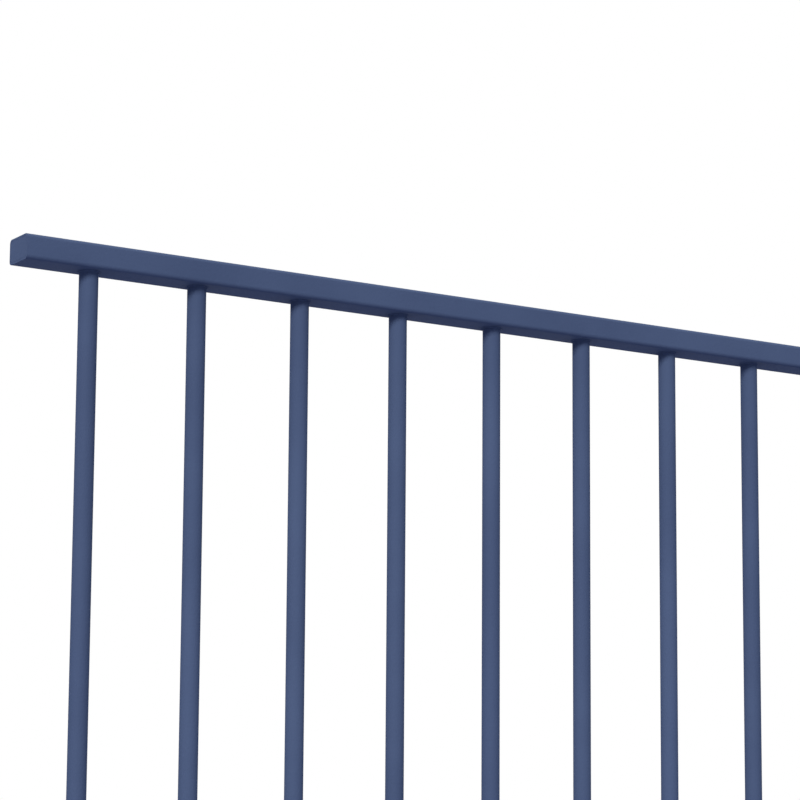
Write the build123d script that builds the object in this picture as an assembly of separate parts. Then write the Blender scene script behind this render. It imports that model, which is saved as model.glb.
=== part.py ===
from build123d import *
import math
import os

# A steel bar fence panel: a row of round tubes between two rectangular hollow rails, in millimetres.
# X runs along the panel, Y through it and Z up.
# The origin is the middle of the bottom rail's left end, the face that goes against a post.

# Whole panel
panel_length = 2400.0
panel_height = 1200.0

# Bars: round tube, upright and evenly spaced
bar_diameter = 19.0
bar_wall = 1.5
bar_gap_limit = 100.0  # widest clear space allowed between two neighbours

# Rails: rectangular hollow section laid flat, wide side level
rail_depth = 40.0
rail_height = 25.0
rail_wall = 2.0
rail_corner_radius = 4.0
rail_end_gap = 65.0  # clear space from the rail's end to the first bar

# Holes punched in the rails for the bars
bar_hole_clearance = 0.25  # all round the bar

# Plates that close the ends of the rails
end_plate_thickness = 3.0
end_plate_clearance = 0.25  # all round the plate

# The bars share out the length between the end gaps, as few as the widest gap allows.
# The count is rounded first, so that a row that fits exactly gains no bar.
bar_run = panel_length - 2 * rail_end_gap - bar_diameter  # from the first bar's middle to the last one's
bar_spaces = math.ceil(round(bar_run / (bar_diameter + bar_gap_limit), 6))
bar_pitch = bar_run / bar_spaces
bar_places = [rail_end_gap + bar_diameter / 2 + space * bar_pitch for space in range(bar_spaces + 1)]

# Heights are measured from the middle of the bottom rail
rail_spacing = panel_height - rail_height  # between the middles of the two rails
bar_seat = rail_height / 2 - rail_wall  # from a rail's middle to the inside of its far wall
bar_length = rail_spacing + 2 * bar_seat


def rail_outline():
    """Outer outline of a rail, across its length."""
    return RectangleRounded(rail_depth, rail_height, rail_corner_radius)


def rail_hollow():
    """Outline of the space inside a rail."""
    return offset(rail_outline(), -rail_wall)


def make_bottom_rail():
    """Hollow section with a row of round holes through its upper wall, its middle on the X axis."""
    section = Plane.YZ * (rail_outline() - rail_hollow())
    rail = extrude(section, panel_length)
    hole = Circle(bar_diameter / 2 + bar_hole_clearance)
    holes = [Pos(x, 0, 0) * hole for x in bar_places]
    return rail - extrude(Sketch() + holes, rail_height)


def make_bar(x):
    """Round tube that goes through a hole in each rail and stands on the inside of the rail's far wall."""
    ring = Circle(bar_diameter / 2) - Circle(bar_diameter / 2 - bar_wall)
    return extrude(Pos(x, 0, -bar_seat) * ring, bar_length)


def make_end_plate(x):
    """Flat plate let into a rail's end, with its outer face level with the rail's cut edge."""
    outline = Plane.YZ * offset(rail_hollow(), -end_plate_clearance)
    return Pos(x, 0, 0) * extrude(outline, end_plate_thickness)


# The top rail is the same piece as the bottom one, rolled over so that its holes face down
to_top = Pos(0, 0, rail_spacing) * Rot(180, 0, 0)

nodes = {}
nodes["bottom_rail"] = make_bottom_rail()
nodes["top_rail"] = to_top * nodes["bottom_rail"]
for side, x in (("left", 0.0), ("right", panel_length - end_plate_thickness)):
    nodes[f"bottom_{side}_end_plate"] = make_end_plate(x)
    nodes[f"top_{side}_end_plate"] = to_top * make_end_plate(x)
for number, x in enumerate(bar_places, start=1):
    nodes[f"bar_{number:02d}"] = make_bar(x)

os.makedirs("parts", exist_ok=True)
for name, shape in nodes.items():
    export_step(shape, f"parts/{name}.step")
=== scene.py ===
import math

import bpy
from mathutils import Matrix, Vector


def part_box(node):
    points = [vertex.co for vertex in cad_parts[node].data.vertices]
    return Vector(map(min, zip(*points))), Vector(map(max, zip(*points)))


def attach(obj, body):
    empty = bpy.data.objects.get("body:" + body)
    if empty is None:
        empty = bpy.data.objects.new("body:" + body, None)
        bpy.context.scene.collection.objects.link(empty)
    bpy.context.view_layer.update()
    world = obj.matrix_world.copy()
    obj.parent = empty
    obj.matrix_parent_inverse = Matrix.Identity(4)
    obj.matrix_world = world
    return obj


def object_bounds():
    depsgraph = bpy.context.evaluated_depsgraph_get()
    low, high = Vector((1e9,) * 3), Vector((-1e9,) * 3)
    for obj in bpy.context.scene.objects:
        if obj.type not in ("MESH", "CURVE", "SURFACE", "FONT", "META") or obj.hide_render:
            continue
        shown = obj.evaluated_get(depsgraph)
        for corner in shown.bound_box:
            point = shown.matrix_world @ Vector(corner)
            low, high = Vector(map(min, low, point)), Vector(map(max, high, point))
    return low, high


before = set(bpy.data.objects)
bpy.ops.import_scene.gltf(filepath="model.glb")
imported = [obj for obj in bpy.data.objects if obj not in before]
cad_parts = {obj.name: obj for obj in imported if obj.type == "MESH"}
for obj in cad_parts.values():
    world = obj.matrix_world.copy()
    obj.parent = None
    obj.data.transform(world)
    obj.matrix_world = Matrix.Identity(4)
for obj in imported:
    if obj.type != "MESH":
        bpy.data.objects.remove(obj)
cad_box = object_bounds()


# Rails
# Two lengths of rectangular hollow section, rolled and seam welded from steel strip, laid flat above and
# below the bars. They are sawn square, punched for the bars and, once welded, powder coated with the rest.
class Wire:
    """A socket of a node tree. Sums on wires add Math nodes, and add() makes any other node."""

    def __init__(self, tree, socket=None):
        self.tree = tree
        self.socket = socket

    def add(self, kind, settings=None, sockets=None, output=0):
        """A node of that kind, its settings set first, then its sockets' values or links."""
        node = self.tree.nodes.new(kind)
        for name, value in (settings or {}).items():
            setattr(node, name, value)
        for name, value in (sockets or {}).items():
            for wire in value if isinstance(value, list) else [value]:
                if isinstance(wire, Wire):
                    self.tree.links.new(wire.socket, node.inputs[name])
                else:
                    node.inputs[name].default_value = wire
        return Wire(self.tree, node.outputs[output] if len(node.outputs) else None)

    def beside(self, name):
        """Another output of the node that this wire leaves."""
        return Wire(self.tree, self.socket.node.outputs[name])

    def maths(self, operation, first, second=0.0):
        """A Math node on one or two values."""
        return self.add("ShaderNodeMath", {"operation": operation}, {0: first, 1: second})

    def __add__(self, other):
        return self.maths("ADD", self, other)

    def __radd__(self, other):
        return self.maths("ADD", other, self)

    def __sub__(self, other):
        return self.maths("SUBTRACT", self, other)

    def __rsub__(self, other):
        return self.maths("SUBTRACT", other, self)

    def __mul__(self, other):
        return self.maths("MULTIPLY", self, other)

    def __rmul__(self, other):
        return self.maths("MULTIPLY", other, self)

    def __abs__(self):
        return self.maths("ABSOLUTE", self)


def start_tree(owner):
    """The node tree of a material or a world, emptied, to add nodes to."""
    owner.use_nodes = True
    owner.node_tree.nodes.clear()
    return Wire(owner.node_tree)


def noise(place, per_metre, detail):
    """Soft uneven grains, about so many to the metre."""
    return place.add("ShaderNodeTexNoise", sockets={"Vector": place, "Scale": per_metre, "Detail": detail})


def rise(value, low, high):
    """Goes smoothly from 0 to 1 while a value goes from low to high."""
    return value.add("ShaderNodeMapRange", {"interpolation_type": "SMOOTHSTEP"}, {
        "Value": value, "From Min": low, "From Max": high,
    })


def mix(factor, first, second):
    """A colour between two others, which are inputs 6 and 7 of a Mix node. Its output 2 is the result."""
    return factor.add("ShaderNodeMix", {"data_type": "RGBA"}, {0: factor, 6: first, 7: second}, 2)


def make_powder_coat():
    """Slate blue polyester powder, baked to a matt skin that is thinnest on the rails' rolled corners, which
    are painted lighter, partly for the thin coat and partly as a painted highlight along the edges.
    """
    deep_blue = (0.058, 0.085, 0.167, 1.0)
    pale_blue = (0.071, 0.103, 0.195, 1.0)
    # Lighter blue for the rails' rolled corners: partly the thinner coat there, partly a painted highlight
    # along the edges
    thin_coat_highlight_blue = (0.082, 0.116, 0.213, 1.0)
    thin_coat_highlight_show = 0.75
    corner_radius = 0.004
    cloud_per_metre = 7.0
    cloud_detail = 4.0
    cloud_low = 0.30
    cloud_high = 0.70
    peel_per_metre = 420.0
    peel_detail = 2.0
    grain_per_metre = 1500.0
    grain_detail = 1.0
    grain_share = 0.15
    skin_depth = 0.00025
    matt_roughness = 0.74
    roughness_spread = 0.12
    matt_gloss = 0.06

    material = bpy.data.materials.new("powder_coat")
    start = start_tree(material)
    place = start.add("ShaderNodeTexCoord", output="Object")

    # A corner is where a point is far from a rail's middle both across and up
    rail_low, rail_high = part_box("bottom_rail")
    rail_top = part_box("top_rail")[1].z
    half_depth = rail_high.y
    half_height = (rail_high.z - rail_low.z) / 2
    middle = (rail_low.z + rail_top) / 2
    across = start.add("ShaderNodeSeparateXYZ", sockets={"Vector": place}, output="Y")
    up = across.beside("Z")
    from_rail = abs(abs(up - middle) - (rail_top - half_height - middle))
    corner = (rise(abs(across), half_depth - corner_radius, half_depth)
              * rise(from_rail, half_height - corner_radius, half_height))

    cloud = rise(noise(place, cloud_per_metre, cloud_detail), cloud_low, cloud_high)
    # The rails' corners are mixed toward the lighter blue, a painted highlight along the edges as well as
    # the thinner coat
    colour = mix(corner * thin_coat_highlight_show, mix(cloud, deep_blue, pale_blue), thin_coat_highlight_blue)
    peel = noise(place, peel_per_metre, peel_detail)
    height = peel + grain_share * noise(place, grain_per_metre, grain_detail)
    skin = start.add("ShaderNodeBump", sockets={"Height": height, "Strength": 1.0, "Distance": skin_depth})
    surface = start.add("ShaderNodeBsdfPrincipled", sockets={
        "Base Color": colour, "Roughness": matt_roughness + roughness_spread * (cloud - 0.5),
        "Normal": skin, "Specular IOR Level": matt_gloss,
    })
    start.add("ShaderNodeOutputMaterial", sockets={"Surface": surface})
    return material


def coat(names):
    """Gives these pieces the powder coat."""
    for name in names:
        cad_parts[name].material_slots[0].material = powder_coat


powder_coat = make_powder_coat()
coat(["bottom_rail", "top_rail"])


# End plates
# Four small flat plates, cut from sheet and let into the open ends of the rails. Each is welded round its
# edge and ground level with the rail's sawn end, so that no water gets in.
def node_group(name, inputs):
    """An empty geometry tree with these named inputs, to add nodes to, and a wire for each input."""
    tree = bpy.data.node_groups.new(name, "GeometryNodeTree")
    for label, kind in inputs.items():
        tree.interface.new_socket(label, in_out="INPUT", socket_type=kind)
    tree.interface.new_socket("Mesh", in_out="OUTPUT", socket_type="NodeSocketGeometry")
    group = tree.nodes.new("NodeGroupInput")
    return Wire(tree), {label: Wire(tree, group.outputs[label]) for label in inputs}


def grow_mesh(name, tree, values):
    """Runs a geometry tree with these input values and gives its mesh as a plain object."""
    holder = bpy.data.objects.new(name, bpy.data.meshes.new(name + "_start"))
    bpy.context.scene.collection.objects.link(holder)
    grower = holder.modifiers.new(name, "NODES")
    grower.node_group = tree
    keys = {item.name: item.identifier for item in tree.interface.items_tree if item.in_out == "INPUT"}
    for label, value in values.items():
        grower[keys[label]] = value
    grown = holder.evaluated_get(bpy.context.evaluated_depsgraph_get())
    mesh = bpy.data.meshes.new_from_object(grown)
    holder.modifiers.remove(grower)
    holder.data = mesh
    return holder


def make_plate_seams():
    """Fine ground seams round the end plates, a hair below the rails' sawn ends."""
    seam_radius = 0.00045
    seam_depth = 0.0001
    corner_radius = 0.0019
    corner_steps = 5
    round_steps = 8
    half_gap = 0.000125
    ends_of_rail = 2

    start, given = node_group("plate_seams", {
        "Plate Depth": "NodeSocketFloat", "Plate Height": "NodeSocketFloat",
        "Corner Radius": "NodeSocketFloat", "Seam Radius": "NodeSocketFloat", "Left": "NodeSocketFloat",
        "Right": "NodeSocketFloat", "Lower": "NodeSocketFloat", "Upper": "NodeSocketFloat",
        "Coat": "NodeSocketMaterial",
    })
    loop = start.add("GeometryNodeCurvePrimitiveQuadrilateral", {"mode": "RECTANGLE"}, {
        "Width": given["Plate Depth"], "Height": given["Plate Height"],
    })
    loop = start.add("GeometryNodeFilletCurve", {"mode": "POLY"}, {
        "Curve": loop, "Count": corner_steps, "Radius": given["Corner Radius"],
    })
    section = start.add("GeometryNodeCurvePrimitiveCircle", {"mode": "RADIUS"}, {
        "Resolution": round_steps, "Radius": given["Seam Radius"],
    })
    seam = start.add("GeometryNodeCurveToMesh", sockets={"Curve": loop, "Profile Curve": section})
    seam = start.add("GeometryNodeSetShadeSmooth", sockets={"Geometry": seam})
    upright = start.add("GeometryNodeTransform", sockets={
        "Geometry": seam, "Rotation": (math.pi / 2, 0.0, math.pi / 2),
    })
    across = start.add("ShaderNodeCombineXYZ", sockets={"X": given["Right"] - given["Left"]})
    ends = []
    for height in (given["Lower"], given["Upper"]):
        left_end = start.add("ShaderNodeCombineXYZ", sockets={"X": given["Left"], "Z": height})
        ends.append(start.add("GeometryNodeMeshLine", {"mode": "OFFSET"}, {
            "Count": ends_of_rail, "Start Location": left_end, "Offset": across,
        }))
    ends = start.add("GeometryNodeJoinGeometry", sockets={"Geometry": ends})
    seams = start.add("GeometryNodeInstanceOnPoints", sockets={"Points": ends, "Instance": upright})
    seams = start.add("GeometryNodeRealizeInstances", sockets={"Geometry": seams})
    seams = start.add("GeometryNodeSetMaterial", sockets={"Geometry": seams, "Material": given["Coat"]})
    start.add("NodeGroupOutput", sockets={"Mesh": seams})

    low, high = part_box("bottom_left_end_plate")
    upper_low, upper_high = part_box("top_left_end_plate")
    sunk = seam_radius + seam_depth
    piece = grow_mesh("plate_seams", start.tree, {
        "Plate Depth": high.y - low.y + 2 * half_gap, "Plate Height": high.z - low.z + 2 * half_gap,
        "Corner Radius": corner_radius, "Seam Radius": seam_radius, "Left": cad_box[0].x + sunk,
        "Right": cad_box[1].x - sunk, "Lower": (low.z + high.z) / 2,
        "Upper": (upper_low.z + upper_high.z) / 2, "Coat": powder_coat,
    })
    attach(piece, "root")


coat(f"{level}_{side}_end_plate" for level in ("bottom", "top") for side in ("left", "right"))
make_plate_seams()


# Bars
# Twenty lengths of round tube, drawn and cut to one length. Each is pushed through the hole in either rail
# until it stands on the far wall, and welded where it comes out.
bars = sorted(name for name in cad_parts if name.startswith("bar_"))
coat(bars)


# Bar welds
# One bead of weld metal round each bar where it meets a rail, forty in all, run in one pass by hand. The
# pool freezes in small even ripples, which still show faintly through the coat.
def make_bar_welds():
    """Rippled rings in the corners between the bars and the rails."""
    bead_radius = 0.0011
    bead_seat = 0.0003
    ripple_count = 30.0
    ripple_depth = 0.32
    ring_steps = 150
    round_steps = 8
    turn_seed = 7

    start, given = node_group("bar_welds", {
        "Bar Radius": "NodeSocketFloat", "Bead Radius": "NodeSocketFloat", "Bead Seat": "NodeSocketFloat",
        "Ripples": "NodeSocketFloat", "Ripple Depth": "NodeSocketFloat", "Bars": "NodeSocketInt",
        "First Bar": "NodeSocketFloat", "Bar Pitch": "NodeSocketFloat", "Lower Face": "NodeSocketFloat",
        "Upper Face": "NodeSocketFloat", "Coat": "NodeSocketMaterial",
    })
    ring = start.add("GeometryNodeCurvePrimitiveCircle", {"mode": "RADIUS"}, {
        "Resolution": ring_steps, "Radius": given["Bar Radius"] + given["Bead Seat"],
    })
    along = start.add("GeometryNodeSplineParameter", output="Factor")
    swell = start.maths("COSINE", along * given["Ripples"] * math.tau)
    section = start.add("GeometryNodeCurvePrimitiveCircle", {"mode": "RADIUS"}, {
        "Resolution": round_steps, "Radius": given["Bead Radius"],
    })
    bead = start.add("GeometryNodeCurveToMesh", sockets={
        "Curve": ring, "Profile Curve": section, "Scale": 1.0 - given["Ripple Depth"] * (0.5 + 0.5 * swell),
    })
    bead = start.add("GeometryNodeSetShadeSmooth", sockets={"Geometry": bead})
    step = start.add("ShaderNodeCombineXYZ", sockets={"X": given["Bar Pitch"]})
    rows = []
    for height in (given["Lower Face"] + given["Bead Seat"], given["Upper Face"] - given["Bead Seat"]):
        first = start.add("ShaderNodeCombineXYZ", sockets={"X": given["First Bar"], "Z": height})
        rows.append(start.add("GeometryNodeMeshLine", {"mode": "OFFSET"}, {
            "Count": given["Bars"], "Start Location": first, "Offset": step,
        }))
    rows = start.add("GeometryNodeJoinGeometry", sockets={"Geometry": rows})

    # Each bead starts somewhere else round its bar. Inputs 2 and 3 are the least and the greatest turn
    turn = start.add("FunctionNodeRandomValue", {"data_type": "FLOAT"}, {
        2: 0.0, 3: math.tau, "Seed": turn_seed,
    }, 1)
    spin = start.add("ShaderNodeCombineXYZ", sockets={"Z": turn})
    beads = start.add("GeometryNodeInstanceOnPoints", sockets={
        "Points": rows, "Instance": bead, "Rotation": spin,
    })
    beads = start.add("GeometryNodeRealizeInstances", sockets={"Geometry": beads})
    beads = start.add("GeometryNodeSetMaterial", sockets={"Geometry": beads, "Material": given["Coat"]})
    start.add("NodeGroupOutput", sockets={"Mesh": beads})

    first_low, first_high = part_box(bars[0])
    last_low, last_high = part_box(bars[-1])
    first_bar = (first_low.x + first_high.x) / 2
    last_bar = (last_low.x + last_high.x) / 2
    welds = grow_mesh("bar_welds", start.tree, {
        "Bar Radius": (first_high.x - first_low.x) / 2, "Bead Radius": bead_radius, "Bead Seat": bead_seat,
        "Ripples": ripple_count, "Ripple Depth": ripple_depth, "Bars": len(bars), "First Bar": first_bar,
        "Bar Pitch": (last_bar - first_bar) / (len(bars) - 1), "Lower Face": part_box("bottom_rail")[1].z,
        "Upper Face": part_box("top_rail")[0].z, "Coat": powder_coat,
    })
    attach(welds, "root")


make_bar_welds()


# Floor and light
# A plain pale studio floor that fades to white, in a white surround. One large soft lamp stands at the front
# left, and a broad one overhead keeps the floor pale.
def seen_directly(start):
    """1 where the camera sees a surface itself, in a gloss or through glass, and 0 for soft light."""
    camera = start.add("ShaderNodeLightPath", output="Is Camera Ray")
    in_gloss = start.maths("MAXIMUM", camera, camera.beside("Is Glossy Ray"))
    return start.maths("MAXIMUM", in_gloss, camera.beside("Is Transmission Ray"))


def make_floor():
    """Pale floor that keeps the panel's shadow near it and runs out to white far from it."""
    floor_pale = (0.90, 0.90, 0.90, 1.0)
    floor_bounce = (0.33, 0.34, 0.45, 1.0)
    floor_reach = 60.0
    fade_start = 2.0
    fade_end = 7.0

    low, high = cad_box
    mesh = bpy.data.meshes.new("floor")
    corners = [(x, y, low.z) for x, y in (
        (-floor_reach, -floor_reach), (floor_reach, -floor_reach),
        (floor_reach, floor_reach), (-floor_reach, floor_reach),
    )]
    mesh.from_pydata(corners, [], [(0, 1, 2, 3)])
    floor = bpy.data.objects.new("floor", mesh)
    bpy.context.scene.collection.objects.link(floor)

    material = bpy.data.materials.new("floor")
    start = start_tree(material)
    seen = seen_directly(start)
    place = start.add("ShaderNodeTexCoord", output="Object")
    middle = ((low.x + high.x) / 2, (low.y + high.y) / 2, low.z)
    away = start.add("ShaderNodeVectorMath", {"operation": "DISTANCE"}, {0: place, 1: middle}, "Value")
    near = start.add("ShaderNodeBsdfDiffuse", sockets={"Color": mix(seen, floor_bounce, floor_pale)})
    far = start.add("ShaderNodeEmission", sockets={"Strength": 1.0})
    fade = rise(away, fade_start, fade_end) * seen
    both = start.add("ShaderNodeMixShader", sockets={0: fade, 1: near, 2: far})
    start.add("ShaderNodeOutputMaterial", sockets={"Surface": both})
    mesh.materials.append(material)


def make_surround():
    """White all round to the eye, and a soft even light of its own."""
    surround_light = 0.40
    shade_tint = (0.91, 0.98, 1.12, 1.0)
    white = (1.0, 1.0, 1.0, 1.0)

    world = bpy.data.worlds.new("surround")
    start = start_tree(world)
    seen = seen_directly(start)
    strength = surround_light + (1.0 - surround_light) * seen
    sky = start.add("ShaderNodeBackground", sockets={
        "Color": mix(seen, shade_tint, white), "Strength": strength,
    })
    start.add("ShaderNodeOutputWorld", sockets={"Surface": sky})
    bpy.context.scene.world = world


def make_light(name, side, height, spread, strength, colour):
    """Even soft light, from so many degrees left of straight ahead and so many above level."""
    light = bpy.data.lights.new(name, "SUN")
    light.energy = strength
    light.angle = math.radians(spread)
    light.color = colour
    lamp = bpy.data.objects.new(name, light)
    bpy.context.scene.collection.objects.link(lamp)
    lamp.rotation_euler = (math.radians(90.0 - height), 0.0, -math.radians(side))


make_floor()
make_surround()
make_light("key_light", side=45.0, height=28.0, spread=20.0, strength=2.58, colour=(1.02, 0.98, 0.90))
make_light("overhead_light", side=0.0, height=90.0, spread=40.0, strength=0.65, colour=(1.0, 1.0, 1.0))


# Camera
# Low and to the left of the panel, looking up along it at the left end of the top rail. Its long lens is
# raised a little, which keeps the bars upright in the picture.
camera_place = (-0.9942, -2.2455, 0.5952)
camera_yaw = math.radians(32.462)
camera_pitch = math.radians(7.892)
camera_roll = math.radians(-0.406)
camera_lens = 117.0
camera_sensor = 36.0
camera_raise = 0.13
camera_reach = 500.0

view = bpy.data.cameras.new("camera")
view.sensor_width = camera_sensor
view.lens = camera_lens
view.shift_y = camera_raise
view.clip_end = camera_reach
camera = bpy.data.objects.new("camera", view)
bpy.context.scene.collection.objects.link(camera)
turn = Matrix.Rotation(-camera_yaw, 4, "Z") @ Matrix.Rotation(math.pi / 2 + camera_pitch, 4, "X")
camera.matrix_world = Matrix.Translation(camera_place) @ turn @ Matrix.Rotation(-camera_roll, 4, "Z")
bpy.context.scene.camera = camera
bpy.context.scene.view_settings.view_transform = "Standard"
